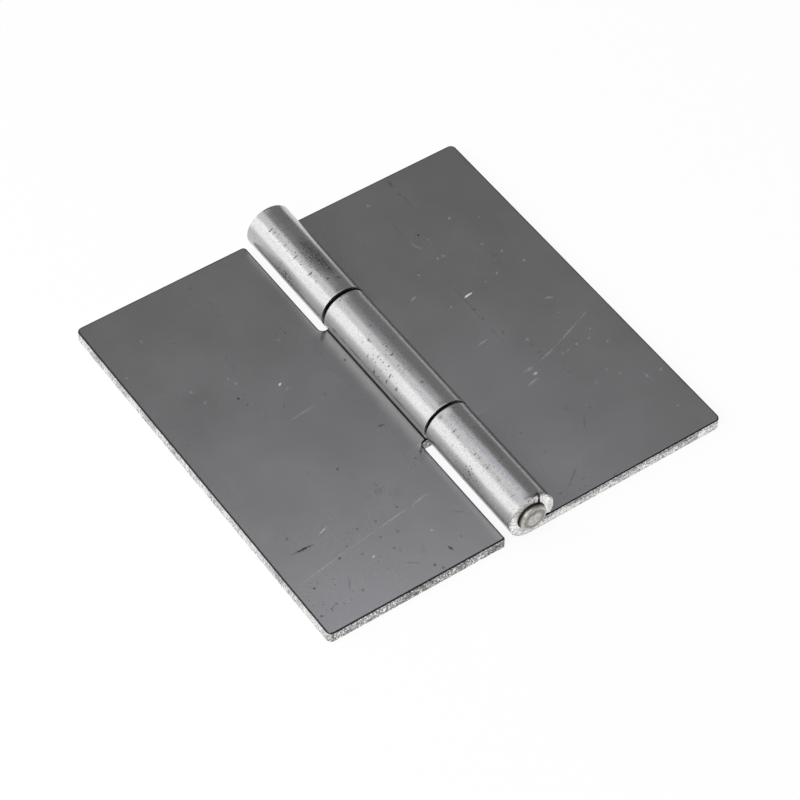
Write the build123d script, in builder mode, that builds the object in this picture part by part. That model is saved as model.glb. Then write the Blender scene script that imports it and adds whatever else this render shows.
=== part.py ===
from build123d import *
from math import sqrt
import os

# Plain steel weld-on butt hinge, laid open flat with its barrel upward. All sizes in millimetres.
# The origin lies on the underside of the leaves, straight below the middle of the pin's axis.
# +Y runs along the pin to the far end, +X to the leaf with two knuckles, +Z up.

# Overall sizes
hinge_length = 90.0          # along the pin, leaf end to leaf end
leaf_reach = 45.6            # pin axis to the outer edge of each leaf
sheet = 2.5                  # steel strip that the leaves are pressed from

# Pin
pin_diameter = 6.0
pin_proud = 0.7              # straight part of the pin that stands out of each end of the barrel
pin_dome_height = 0.5        # height of the pin's upset end beyond its straight part
pin_flat_diameter = 3.4      # small flat in the middle of the upset end

# Knuckles
running_clearance = 0.08     # radial, between the pin and the knuckle that turns on it
grip_clearance = 0.03        # radial, between the pin and the two knuckles that hold it
knuckle_wall = 2.05          # the strip thins as it is rolled round the pin
centre_knuckle_width = 34.3
knuckle_gap = 0.85           # mean gap between the faces of neighbouring knuckles
slide = 0.1                  # the centre knuckle has slid this far toward the near end
curl_outer_angle = 25.5      # end of the curl below the pin's axis, at the outside of the barrel
curl_inner_angle = 35.0      # and at the bore
curl_end_radius = 0.3        # sheared end of the curl, rounded where it meets the outside

# Leaf outlines
slot_clearance = 0.8         # between a leaf's inner edge and the other leaf's knuckles
slot_corner_radius = 1.1     # root of each slot, where the leaf turns into its knuckle
outer_corner_radius = 1.2
far_corner_radius = 0.8      # leaf corner beside the far outer knuckle
near_corner_radius = 0.3     # leaf corner beside the near outer knuckle, left almost sharp
edge_roll = 0.25             # top edges drawn over by the shears

# Split in the wall of the near knuckle's end, torn open when it was rolled
split_offset = 1.55          # from the pin's axis toward the leaf
split_depth = 0.9            # along the pin
split_mouth = 0.6            # width at the bore
split_neck = 0.12            # width at its narrowest
split_lip = 0.3              # width at the outside
split_neck_share = 0.6       # how far up the wall it is narrowest

# Places that follow from the sizes
pin_radius = pin_diameter / 2
barrel_radius = pin_radius + running_clearance + knuckle_wall
axis_height = barrel_radius
leaf_inner_edge = barrel_radius + slot_clearance
half_length = hinge_length / 2
knuckle_side = centre_knuckle_width / 2
outer_knuckle_side = knuckle_side + knuckle_gap


def rolled_section(y, bore_radius):
    """Section of a leaf at y: flat strip, then its curl below the pin, up the back, over and down again."""
    with BuildSketch(Plane.XZ.offset(-y)) as section:
        with BuildLine():
            bore_start = (sqrt(bore_radius**2 - (axis_height - sheet) ** 2), sheet)
            inner_end = PolarLine((0, axis_height), bore_radius, -curl_inner_angle, mode=Mode.PRIVATE) @ 1
            outer_end = PolarLine((0, axis_height), barrel_radius, -curl_outer_angle, mode=Mode.PRIVATE) @ 1
            Polyline((0, 0), (leaf_reach, 0), (leaf_reach, sheet), bore_start)
            ThreePointArc(bore_start, (-bore_radius, axis_height), inner_end)
            Line(inner_end, outer_end)
            ThreePointArc(outer_end, (-barrel_radius, axis_height), (0, 0))
        make_face()
        fillet(section.vertices().sort_by_distance(outer_end)[0], curl_end_radius)
    return section.sketch


def cut_slot(start, end, rounded_roots):
    """Cuts room for the other leaf's knuckle from y = start to y = end, with rounded roots in the strip."""
    room = 2 * barrel_radius
    for level, depth, roots in ((0, sheet, rounded_roots), (sheet, room, ())):
        with BuildSketch(Plane.XY.offset(level)) as outline:
            with Locations((-room, start)):
                Rectangle(room + leaf_inner_edge, end - start, align=(Align.MIN, Align.MIN))
            corners = outline.vertices().group_by(Axis.X)[-1].sort_by(Axis.Y)
            for root in roots:
                fillet(corners[root], slot_corner_radius)
        extrude(outline.sketch, amount=depth, mode=Mode.SUBTRACT)


def rolled_edges(leaf, bore_radius):
    """Edges of the leaf's upper face that the shears drew over: all but those along the bore."""
    upper = leaf.faces().filter_by(Plane.XY).filter_by_position(Axis.Z, sheet - 0.01, sheet + 0.01)
    return upper.edges().filter_by(lambda edge: edge.bounding_box().max.X > bore_radius)


def split_section(bore_radius):
    """Section of the split at the near end: wide at the bore, narrow in the wall, open at the outside."""
    bore_height = axis_height + sqrt(bore_radius**2 - split_offset**2)
    outside_height = axis_height + sqrt(barrel_radius**2 - split_offset**2)
    neck_height = bore_height + split_neck_share * (outside_height - bore_height)
    with BuildSketch(Plane.XZ.offset(half_length)) as section:
        with BuildLine():
            Polyline(
                (split_offset - split_mouth / 2, bore_height - split_mouth),
                (split_offset - split_neck / 2, neck_height),
                (split_offset - split_lip / 2, outside_height + split_lip),
                (split_offset + split_lip / 2, outside_height + split_lip),
                (split_offset + split_neck / 2, neck_height),
                (split_offset + split_mouth / 2, bore_height - split_mouth),
                close=True,
            )
        make_face()
    return section.sketch


def end_corners(leaf, end):
    """Upright corner edges at one end of a leaf, 0 near and -1 far, from the pin outward."""
    return leaf.edges().filter_by(Axis.Z).group_by(Axis.Y)[end].sort_by(Axis.X)


# Leaf with two knuckles, one at each end of the pin. It holds the pin.
outer_bore = pin_radius + grip_clearance

with BuildPart() as two_knuckle_leaf:
    extrude(rolled_section(half_length, outer_bore), amount=hinge_length)
    cut_slot(-outer_knuckle_side, outer_knuckle_side, rounded_roots=(0, 1))
    outer_corners = (end_corners(two_knuckle_leaf, -1)[-1], end_corners(two_knuckle_leaf, 0)[-1])
    fillet(outer_corners, outer_corner_radius)
    fillet(rolled_edges(two_knuckle_leaf, outer_bore), edge_roll)
    extrude(split_section(outer_bore), amount=-split_depth, mode=Mode.SUBTRACT)
two_knuckle_leaf.part.label = "two_knuckle_leaf"

# Leaf with the centre knuckle, which turns on the pin. It is made toward +X, then turned over to -X.
centre_bore = pin_radius + running_clearance
far_end = half_length - slide
near_end = -half_length - slide
past_ends = barrel_radius

with BuildPart() as centre_knuckle_leaf:
    extrude(rolled_section(far_end, centre_bore), amount=hinge_length)
    cut_slot(knuckle_side - slide, far_end + past_ends, rounded_roots=(0,))
    cut_slot(near_end - past_ends, -knuckle_side - slide, rounded_roots=(1,))
    fillet(end_corners(centre_knuckle_leaf, -1)[0], far_corner_radius)
    fillet(end_corners(centre_knuckle_leaf, 0)[0], near_corner_radius)
    outer_corners = (end_corners(centre_knuckle_leaf, -1)[-1], end_corners(centre_knuckle_leaf, 0)[-1])
    fillet(outer_corners, outer_corner_radius)
    fillet(rolled_edges(centre_knuckle_leaf, centre_bore), edge_roll)
    mirror(about=Plane.YZ, mode=Mode.REPLACE)
centre_knuckle_leaf.part.label = "centre_knuckle_leaf"

# Pin of plain wire, its ends upset to low flat-topped domes that stand just out of the barrel.
straight_half = half_length + pin_proud
pin_half = straight_half + pin_dome_height

with BuildPart() as hinge_pin:
    with BuildSketch(Plane.YZ) as pin_section:
        with BuildLine():
            dome_start = (straight_half, axis_height + pin_radius)
            dome_end = (pin_half, axis_height + pin_flat_diameter / 2)
            Polyline(dome_end, (pin_half, axis_height), (0, axis_height))
            Polyline((0, axis_height), (0, axis_height + pin_radius), dome_start)
            TangentArc(dome_end, dome_start, tangent=(0, 1))
        make_face()
    revolve(axis=Axis((0, 0, axis_height), (0, 1, 0)))
    mirror(about=Plane.XZ)
hinge_pin.part.label = "hinge_pin"

os.makedirs("parts", exist_ok=True)
export_step(two_knuckle_leaf.part, "parts/two_knuckle_leaf.step")
export_step(centre_knuckle_leaf.part, "parts/centre_knuckle_leaf.step")
export_step(hinge_pin.part, "parts/hinge_pin.step")
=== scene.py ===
"""Looks of a plain weld-on steel butt hinge: two leaves rolled round a wire pin, lying open in a white studio.

Meshes are made in millimetres, in the row frame, and brought to metres last. The leaves are made as the real
ones are: a flat blank is cut out, its edges are sheared and drawn over, and its tabs are rolled round the pin.
"""

import logging
import math
from dataclasses import dataclass, field
from enum import Enum
from functools import partial

import bmesh
import bpy
from mathutils import Matrix, Vector, noise


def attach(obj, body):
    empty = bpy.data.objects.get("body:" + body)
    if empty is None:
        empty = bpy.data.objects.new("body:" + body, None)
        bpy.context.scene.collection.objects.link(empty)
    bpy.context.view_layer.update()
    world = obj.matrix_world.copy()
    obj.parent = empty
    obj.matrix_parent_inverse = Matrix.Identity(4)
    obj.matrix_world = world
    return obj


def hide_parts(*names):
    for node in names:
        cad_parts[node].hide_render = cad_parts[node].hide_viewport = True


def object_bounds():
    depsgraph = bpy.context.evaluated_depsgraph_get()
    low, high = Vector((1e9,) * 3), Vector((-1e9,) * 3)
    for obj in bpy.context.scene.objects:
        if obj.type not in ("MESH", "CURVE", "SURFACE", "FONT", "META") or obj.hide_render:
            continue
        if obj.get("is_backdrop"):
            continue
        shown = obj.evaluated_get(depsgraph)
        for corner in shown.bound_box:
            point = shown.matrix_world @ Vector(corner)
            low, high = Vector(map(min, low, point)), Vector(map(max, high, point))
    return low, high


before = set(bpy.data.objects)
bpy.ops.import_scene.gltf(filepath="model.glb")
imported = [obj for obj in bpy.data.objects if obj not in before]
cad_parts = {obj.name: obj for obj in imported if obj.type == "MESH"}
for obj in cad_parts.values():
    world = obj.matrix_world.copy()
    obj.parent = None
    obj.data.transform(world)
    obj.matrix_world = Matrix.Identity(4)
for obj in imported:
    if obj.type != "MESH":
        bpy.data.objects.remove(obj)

log = logging.getLogger("butt_hinge")

MM = 0.001                   # metres in a millimetre
SENSOR = 36.0                # millimetres
WHITE = (1, 1, 1, 1)

# Sizes that the pieces share, in millimetres
SHEET = 2.5                  # thickness of the strip
BARREL_RADIUS = 5.13
AXIS_HEIGHT = 5.13
HALF_LENGTH = 45.0
TOUCH = 0.01                 # points this close lie on the same line or level

Mesh = bmesh.types.BMesh
Verts = list[bmesh.types.BMVert]
Socket = bpy.types.NodeSocket
Tree = bpy.types.NodeTree
Triple = tuple[float, float, float]
Rows = tuple[tuple[float, ...], ...]


class LeafSide(Enum):
    """Side of the pin that a leaf lies on, as the sign of X."""

    RIGHT = 1
    LEFT = -1


class Surface(Enum):
    """Places of the two finishes in a leaf's material slots."""

    STRIP = 0
    SHEARED = 1


# ---------------------------------------------------------------------------------------------- small helpers


def linear(hex_colour: str) -> tuple[float, float, float, float]:
    """Turns an sRGB hex colour to linear light.

    Args:
        hex_colour: Colour as "#rrggbb".

    Returns:
        Linear red, green, blue and an alpha of 1.
    """
    parts = (int(hex_colour[place:place + 2], 16) / 255 for place in (1, 3, 5))
    red, green, blue = (part / 12.92 if part <= 0.04045 else ((part + 0.055) / 1.055) ** 2.4 for part in parts)
    return red, green, blue, 1.0


def per_metre(size: float) -> float:
    """Gives the texture scale at which a pattern's features are size millimetres across."""
    return 1 / (size * MM)


def smoothstep(value: float, low: float, high: float) -> float:
    """Gives 0 below low, 1 above high and a smooth rise between them."""
    share = min(max((value - low) / (high - low), 0.0), 1.0)
    return share * share * (3 - 2 * share)


def add_node(tree: Tree, kind: str, inputs: dict | tuple = (), output: str = "",
             **settings: object) -> Socket | None:
    """Adds a shader node with its settings and links.

    Args:
        tree: Node tree that gets the node.
        kind: Node type without "ShaderNode", such as "Math".
        inputs: Value or linked socket for each input: by name, or in order for the inputs that are in use.
        output: Name of the output wanted. Without one it is the first output in use.
        settings: Properties of the node.

    Returns:
        The output, or None where the node has none.
    """
    node = tree.nodes.new("ShaderNode" + kind)
    for name, value in settings.items():
        setattr(node, name, value)
    if isinstance(inputs, dict):
        pairs = [(node.inputs[name], value) for name, value in inputs.items()]
    else:
        pairs = list(zip([socket for socket in node.inputs if socket.enabled], inputs))
    for socket, value in pairs:
        if isinstance(value, Socket):
            tree.links.new(value, socket)
        else:
            socket.default_value = value
    return node.outputs[output] if output else next((socket for socket in node.outputs if socket.enabled), None)


def new_tree(owner: bpy.types.Material | bpy.types.World) -> Tree:
    """Gives a material or a world an empty node tree."""
    owner.use_nodes = True
    owner.node_tree.nodes.clear()
    return owner.node_tree


def finish_metal(tree: Tree, colour: Socket, roughness: Socket | float, relief: Socket, strength: Socket | float,
                 depth: float) -> None:
    """Ends a material of bare metal.

    Args:
        tree: Tree of the material.
        colour: Colour of the metal.
        roughness: Its roughness.
        relief: Height of its relief, about 0 to 1.
        strength: How strongly the relief shows.
        depth: Depth of the relief, in millimetres.
    """
    normal = add_node(tree, "Bump", {"Strength": strength, "Distance": depth * MM, "Height": relief})
    surface = add_node(tree, "BsdfPrincipled", {
        "Metallic": 1.0, "Base Color": colour, "Roughness": roughness, "Normal": normal})
    add_node(tree, "OutputMaterial", (surface,))


def new_object(name: str, content: bpy.types.ID) -> bpy.types.Object:
    """Puts a mesh, lamp or camera in the scene as an object."""
    made = bpy.data.objects.new(name, content)
    bpy.context.scene.collection.objects.link(made)
    return made


def finish_mesh(shape: Mesh, name: str, materials: list[bpy.types.Material], sharp_angle: float) -> bpy.types.Object:
    """Brings a finished shape from millimetres to metres and makes it a smooth-shaded object.

    Args:
        shape: Shape in millimetres. It is freed here.
        name: Name of the object and its mesh.
        materials: Materials in slot order.
        sharp_angle: Edges that turn by more than this many degrees stay sharp.

    Returns:
        The object, at the origin, unturned and unscaled.
    """
    bmesh.ops.scale(shape, vec=(MM, MM, MM), verts=shape.verts)
    mesh = bpy.data.meshes.new(name)
    shape.to_mesh(mesh)
    shape.free()
    mesh.shade_smooth()
    mesh.set_sharp_from_angle(angle=math.radians(sharp_angle))
    for material in materials:
        mesh.materials.append(material)
    piece = new_object(name, mesh)
    piece.modifiers.new("even_faces", "WEIGHTED_NORMAL").keep_sharp = True
    log.info("%s: %d faces", name, len(mesh.polygons))
    return piece


def slice_shape(shape: Mesh, axis: int, places: list[float], tolerance: float = 1e-4) -> None:
    """Slices a shape square to an axis, 0 to 2 for X to Z, at some places along it.

    Args:
        shape: Shape in millimetres.
        axis: Number of the axis.
        places: Places of the slices.
        tolerance: Points this close to a slice count as on it.
    """
    for place in places:
        point, direction = Vector(), Vector()
        point[axis], direction[axis] = place, 1.0
        bmesh.ops.bisect_plane(shape, geom=shape.verts[:] + shape.edges[:] + shape.faces[:], dist=tolerance,
                               plane_co=point, plane_no=direction)


# ------------------------------------------------------------------------------------------------------- marks


@dataclass(frozen=True)
class Mark:
    """One mark on a surface: a soft-edged ellipsoid in millimetres, turned about Z."""

    x: float
    y: float
    half_length: float
    half_width: float
    strength: float
    angle: float = 0.0           # degrees from +X toward +Y
    z: float = SHEET
    half_height: float = 0.8

    @classmethod
    def between(cls, x0: float, y0: float, x1: float, y1: float, half_width: float, strength: float) -> "Mark":
        """Makes a long thin mark on a leaf's upper face, from one end to the other."""
        run = Vector((x1, y1)) - Vector((x0, y0))
        middle = (Vector((x1, y1)) + Vector((x0, y0))) / 2
        angle = math.degrees(math.atan2(run.y, run.x))
        return cls(middle.x, middle.y, run.length / 2, half_width, strength, angle)

    @classmethod
    def on_barrel(cls, turn: float, y: float, half_round: float, half_along: float, strength: float) -> "Mark":
        """Makes a mark on the barrel, so many degrees round the pin's axis from +X over the top toward -X."""
        angle = math.radians(turn)
        return cls(BARREL_RADIUS * math.cos(angle), y, half_round, half_along, strength, 0.0,
                   AXIS_HEIGHT + BARREL_RADIUS * math.sin(angle), half_round)


def marks(lines: Rows = (), dots: Rows = (), patches: Rows = (), on_barrel: Rows = ()) -> tuple[Mark, ...]:
    """Makes marks from rows of sizes in millimetres. Those on a leaf lie on its upper face.

    Args:
        lines: X and Y of one end and of the other, half width and strength.
        dots: X, Y, half width and strength of each round mark.
        patches: X, Y, half length, half width and strength of each broad place.
        on_barrel: Degrees round the axis, Y, half size round the barrel, half size along it and strength.

    Returns:
        The marks.
    """
    return (*(Mark.between(*row) for row in lines),
            *(Mark(x, y, half_width, half_width, strength) for x, y, half_width, strength in dots),
            *(Mark(*row) for row in patches), *(Mark.on_barrel(*row) for row in on_barrel))


def mark_mask(tree: Tree, place: Socket, drawn: tuple[Mark, ...], pattern: Socket, low: float,
              high: float) -> Socket:
    """Adds up the soft shapes of some marks and breaks them up with a pattern.

    Args:
        tree: Tree of the material.
        place: Object coordinates, in metres.
        drawn: Marks to draw.
        pattern: Pattern that breaks the marks up.
        low: Pattern's value below which nothing of a mark is left.
        high: Pattern's value above which the whole mark is left.

    Returns:
        0 away from the marks, and up to 1 on them.
    """
    total = 0.0
    for mark in drawn:
        local = add_node(tree, "Mapping", {
            "Vector": place,
            "Location": (mark.x * MM, mark.y * MM, mark.z * MM),
            "Rotation": (0, 0, math.radians(mark.angle)),
            "Scale": (mark.half_length * MM, mark.half_width * MM, mark.half_height * MM),
        }, vector_type="TEXTURE")
        shape = add_node(tree, "TexGradient", (local,), "Fac", gradient_type="SPHERICAL")
        total = add_node(tree, "Math", (shape, mark.strength, total), operation="MULTIPLY_ADD")
    broken = add_node(tree, "MapRange", (pattern, low, high, 0.0, 1.2))
    return add_node(tree, "Math", (total, broken), operation="MULTIPLY", use_clamp=True)


@dataclass(frozen=True)
class Wear:
    """What use and handling left on one leaf and its knuckles, with painted shade among some pits and smudges."""

    scratches: tuple[Mark, ...]
    pits_and_shade: tuple[Mark, ...]
    smudges_and_shade: tuple[Mark, ...]
    speckles: tuple[Mark, ...]   # places strewn with fine dark specks


TWO_KNUCKLE_WEAR = Wear(
    scratches=marks(
        lines=(
            (22.5, 8.45, 25, 8.8, 0.24, 2.4), (24.8, -13.6, 30.5, -12, 0.2, 0.3), (29.5, -12.3, 38.8, -8.9, 0.2, 0.3),
            (37.5, -9.4, 41.8, -7.6, 0.2, 0.16), (21, -14, 23.8, -13.9, 0.5, 0.22),
            (19.3, -17.4, 22.6, -16.6, 0.35, 0.25), (22, -15.6, 23.4, -15.4, 0.4, 0.7),
            (17.5, -3.4, 20.3, -3, 0.35, 0.25), (35.8, -0.5, 37.7, -1.5, 0.32, 0.4), (40.2, -27, 40.5, -29.2, 0.3, 0.3),
            (22, 27.2, 23.6, 23.2, 0.4, 0.16), (13.2, 13.6, 15.2, 14.4, 0.35, 0.3),
        ),
        dots=(
            (30.2, -14.3, 0.4, 0.23), (31.6, -14.3, 0.35, 0.2), (33.9, -13.9, 0.45, 0.29), (36.8, -14, 0.4, 0.2),
            (38.5, -12.3, 0.4, 0.23), (39.4, -16.8, 0.4, 0.2), (26.6, -7.5, 0.5, 0.2), (35.9, -5.2, 0.4, 0.16),
            (43.6, -28.5, 0.4, 0.29), (34.8, -22.5, 0.35, 0.2), (31.2, -24.1, 0.35, 0.2), (36.4, -24.8, 0.5, 0.13),
            (40.7, -37.6, 0.35, 0.2), (32.8, 28, 0.4, 0.52), (25.9, 25.6, 0.4, 0.2), (38.1, 24.9, 0.4, 0.16),
            (21.1, 40.2, 0.4, 0.26), (24.5, 20.2, 0.4, 0.26), (25.8, 20.1, 0.4, 0.36), (18.7, 18.6, 0.35, 0.29),
            (36.4, 14.6, 0.45, 0.29), (32, 10.2, 0.4, 0.45), (38.6, 10, 0.45, 0.33), (34.1, 18.4, 0.4, 0.16),
            (19.1, 8, 0.4, 0.2), (28.9, 9.6, 0.4, 0.16),
        ),
    ),
    pits_and_shade=marks(
        lines=(
            (22.4, 35, 22.4, 28.5, 0.35, 0.45), (22.4, 15, 22.6, 1, 0.35, 0.45), (22.4, 1.5, 22.3, -6.2, 0.35, 0.4),
            (28.4, 44.6, 28.3, 41, 0.5, 0.8), (28.5, 39.6, 28.6, 34.3, 0.6, 0.45), (24.5, -29, 21.9, -32.7, 0.4, 0.45),
            (10.3, -42.5, 16.6, -37.9, 0.34, 0.5), (27.3, -16.8, 29.5, -20.2, 0.4, 0.3),
        ),
        dots=(
            (28.3, 39.3, 0.5, 0.9), (22.5, 4.9, 0.4, 0.7), (22.6, 2, 0.4, 0.9), (24.9, 27.7, 0.5, 1.1),
            (23.8, -3.2, 0.5, 0.7), (26.3, -28.5, 0.45, 0.6), (12.5, -32.3, 0.35, 0.7), (11.4, -26.1, 0.4, 0.4),
            (20.2, -44.6, 0.5, 0.7), (9.1, -42.3, 0.5, 0.6), (14.5, 31.4, 0.4, 0.4),
        ),
        on_barrel=(
            (120, 40.1, 0.85, 0.2, 1.3), (119, 39, 0.6, 0.16, 0.7), (118, 35, 0.5, 0.22, 1), (120, 31.2, 0.9, 0.2, 1.3),
            (117, 29.5, 0.4, 0.2, 0.8), (120, 25.8, 0.8, 0.34, 1.4), (121, 23.5, 0.4, 0.18, 0.9),
            (97, 22.4, 0.45, 0.6, 1.1), (75, 21.5, 0.7, 0.5, 0.9), (68, 40.5, 0.4, 0.3, 0.6),
            (167, 31.1, 0.8, 0.22, 1.1), (155, 33.2, 0.6, 0.16, 0.8), (96, 34, 0.5, 0.16, 0.8),
            (88, 33.2, 0.5, 0.16, 0.7), (110, 27.5, 0.4, 0.2, 0.7), (113, 24.5, 0.4, 0.16, 0.7),
            (118, -23.2, 0.7, 0.2, 1.3), (120, -24.8, 0.5, 0.2, 0.8), (118, -30, 0.45, 0.2, 1),
            (116, -31.3, 0.5, 0.2, 1), (118, -34, 0.45, 0.5, 0.7), (117, -37.5, 0.4, 0.5, 0.7), (119, -42, 0.4, 0.2, 1),
            (78, -25, 0.6, 0.25, 1), (70, -25.6, 0.4, 0.2, 0.8), (77, -33.8, 0.5, 0.2, 0.9), (88, -34.2, 0.5, 0.2, 0.7),
            (152, -30.1, 0.4, 0.25, 1), (141, -25, 0.4, 0.2, 0.8), (120, -18.9, 0.5, 0.5, 0.7),
            (80, -44.6, 1.6, 0.3, 1), (62, -44.4, 0.8, 0.3, 0.9),
        ),
    ),
    smudges_and_shade=marks(
        dots=(
            (26.6, -9.1, 1.1, 0.7), (26.6, -11.4, 1.2, 0.6), (22.3, -26.1, 1, 0.5), (34.5, 14.5, 1.1, 1),
            (32.7, 13.3, 0.8, 0.6), (34.1, 12.5, 1, 0.9),
        ),
        on_barrel=(
            (87, 29.2, 2.6, 6.3, 3), (80, 25, 1.6, 2.8, 1.5), (174, 31, 2.6, 7.5, 1.9), (162, -32, 1.7, 6.4, 1),
            # Painted dark reflection at 196 degrees: the near knuckle's side that mirrors the shaded table.
            (73, -29.5, 1.1, 5, 0.7), (196, -31.5, 2.2, 22, 1.2),
        ),
    ),
    speckles=marks(
        patches=((12, -43, 6, 4, 0.8), (33, 13, 5, 5, 0.4), (32, -11, 9, 4, 0.4)),
        on_barrel=(
            (161, -32, 2.4, 8, 1.6), (117, -32, 1.5, 16, 1), (85, 29, 3, 8.8, 1.6), (116, 31, 1.8, 14, 1),
            (88, -44.6, 3, 1, 1.6), (55, -44.6, 2.4, 0.9, 1.6), (120, -18.6, 3, 1.4, 1), (85, -18.6, 2.6, 1.2, 1),
        ),
    ),
)

CENTRE_KNUCKLE_WEAR = Wear(
    scratches=marks(
        lines=(
            (-44.8, -32.7, -30, -30.4, 0.2, 0.2), (-32.5, -30.8, -24, -29.8, 0.2, 0.16),
            (-25, -29.9, -16.6, -28.8, 0.22, 0.34), (-16.4, -28.8, -11.2, -28, 0.22, 0.34),
            (-34.6, -24.9, -31.6, -23.7, 0.26, 0.55), (-24, 1.5, -16.8, 2.1, 0.24, 0.24),
            (-20.5, 10, -19.6, 10.6, 0.32, 1),
        ),
        dots=(
            (-28.7, -34.7, 0.45, 0.52), (-16.2, -35.7, 0.4, 0.39), (-36.5, 35, 0.45, 0.16), (-14, 20.1, 0.45, 0.2),
            (-35.4, 18.3, 0.4, 0.33), (-34.6, 14.6, 0.45, 0.2), (-27.7, 17.1, 0.45, 0.13), (-27, 15.3, 0.45, 0.16),
            (-19.4, 8.6, 0.4, 0.2), (-43.9, 28.4, 0.4, 0.2),
        ),
    ),
    pits_and_shade=marks(
        lines=(
            (-41.6, -25.7, -35.8, -26.1, 0.42, 1.1), (-40, -25.8, -36.4, -25.9, 0.3, 0.8),
            (-34.9, -25.4, -31.5, -23.3, 0.6, 0.35), (-10.7, -9.1, -8.7, -9.6, 0.35, 0.9),
            (-36.9, -38.9, -34.9, -35.8, 0.28, 0.5), (-25.5, -38.6, -21.5, -41.4, 0.28, 0.3),
            (-11.2, -33.6, -8.3, -35.9, 0.3, 0.35), (-15.9, -40.3, -15.5, -42, 0.38, 1.2),
            # Painted shade: the first two lines here are dark streaks where the leaf bulges at the slots' roots.
            (-8, -19.9, -5.4, -17.4, 0.4, 1.2), (-7.4, 14.6, -5.9, 16.6, 0.5, 0.6), (-22.7, 4.7, -22, 5.9, 0.25, 0.5),
            (-28.2, 3.9, -25.9, 6.1, 0.25, 0.35), (-14.7, 2.7, -13.5, 4.1, 0.3, 0.5),
            (-14.2, 44.7, -12.6, 44.5, 0.35, 0.6),
        ),
        dots=(
            (-39.7, -22.1, 0.45, 1), (-22.6, -13.6, 0.42, 1), (-27.6, -11.1, 0.4, 0.4), (-27.6, -27.6, 0.45, 0.7),
            (-23.7, -28, 0.4, 0.6), (-18.4, -27.5, 0.4, 0.7), (-34.1, -31.4, 0.42, 1.1), (-31.5, -29.8, 0.4, 0.6),
            (-25.1, -31.6, 0.4, 0.6), (-21.6, -32.3, 0.42, 0.9), (-30.1, -33, 0.4, 0.5), (-24.4, -35.2, 0.4, 0.6),
            (-23.7, -36.2, 0.35, 0.5), (-20.4, -42.7, 0.4, 0.9), (-19.4, -44.1, 0.4, 0.9), (-12.4, -40, 0.4, 0.5),
            (-34.7, -40, 0.4, 0.7), (-41.9, -34.6, 0.4, 0.9), (-40.5, -39.8, 0.4, 0.7), (-41.8, -40.2, 0.35, 0.7),
            (-44.3, -40.6, 0.4, 0.9), (-21.1, 41.4, 0.45, 1), (-19.6, 36, 0.4, 0.5), (-22.8, 36.1, 0.45, 0.35),
            (-20.4, 31.8, 0.4, 0.6), (-28.7, 11.8, 0.45, 1.1), (-27.3, 12.1, 0.5, 0.6), (-28, 9.5, 0.4, 0.9),
            (-11.9, 20.8, 0.45, 0.8), (-13.6, 21.7, 0.5, 0.5), (-6.1, 8.4, 0.4, 0.8), (-43, 7.6, 0.35, 0.5),
        ),
        on_barrel=(
            (166, 0, 0.75, 0.34, 1.3), (150, 3, 0.7, 0.24, 1), (158, -4, 0.7, 0.24, 1.3), (142, -4.1, 0.75, 0.24, 1.3),
            (122, 5, 0.4, 0.8, 0.8), (107, -1, 0.6, 0.24, 1.1), (112, -3.9, 0.4, 0.2, 0.9), (152, -7, 0.7, 0.45, 0.9),
            (145, 1.5, 0.5, 0.2, 0.8), (132, 0.8, 0.5, 0.2, 0.8), (128, -2.5, 0.5, 0.2, 0.8), (60, 9, 0.4, 0.4, 0.7),
            (75, 2.3, 0.5, 0.2, 0.8), (97, -10, 0.5, 0.6, 0.7), (97, 7.5, 0.4, 0.5, 0.7), (137, 5.8, 0.5, 0.2, 0.8),
        ),
    ),
    smudges_and_shade=marks(
        lines=(
            (-24.2, 23.5, -26, 20.3, 0.9, 0.8), (-23.9, 20.6, -26.2, 18.2, 0.5, 0.7),
            # Painted shade: this line darkens the leaf where it bulges beside the near slot's root.
            (-8.3, -21.5, -6.8, -17.8, 1.4, 0.5),
        ),
        dots=(
            (-19.1, -22.4, 1.2, 0.7), (-21.4, -22.5, 0.9, 0.5), (-16.7, -24.5, 1.5, 0.5), (-18.8, -20.6, 0.9, 0.4),
            (-21.5, -17.7, 1.6, 0.22), (-20.1, -38.6, 1, 0.4), (-31.5, 31, 0.8, 0.35),
        ),
        # Painted dark reflection at 96 degrees: it widens the dark band along the centre knuckle's top.
        on_barrel=((134, -1, 3.6, 8.5, 0.45), (96, 0.5, 1.4, 22, 0.9)),
    ),
    speckles=marks(
        patches=(
            (-40, -37.5, 6, 5.5, 0.9), (-28, -38, 9, 6, 0.3), (-18.5, -22.5, 3.5, 3, 0.7), (-30, -26, 12, 8, 0.3),
            (-12, 22, 3, 3, 0.5), (-9.5, -19.5, 3, 3, 1.1), (-8.5, 18.6, 2.6, 2.2, 1.1),
        ),
        on_barrel=(
            (140, -1, 4.6, 10, 0.7), (98, 1, 2, 9, 0.6), (172, 0, 1.5, 16, 0.8), (110, 16.5, 3, 1.2, 1),
            (110, -16.6, 3, 1.2, 1),
        ),
    ),
)


# ---------------------------------------------------------------------------------------------------- finishes


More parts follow.
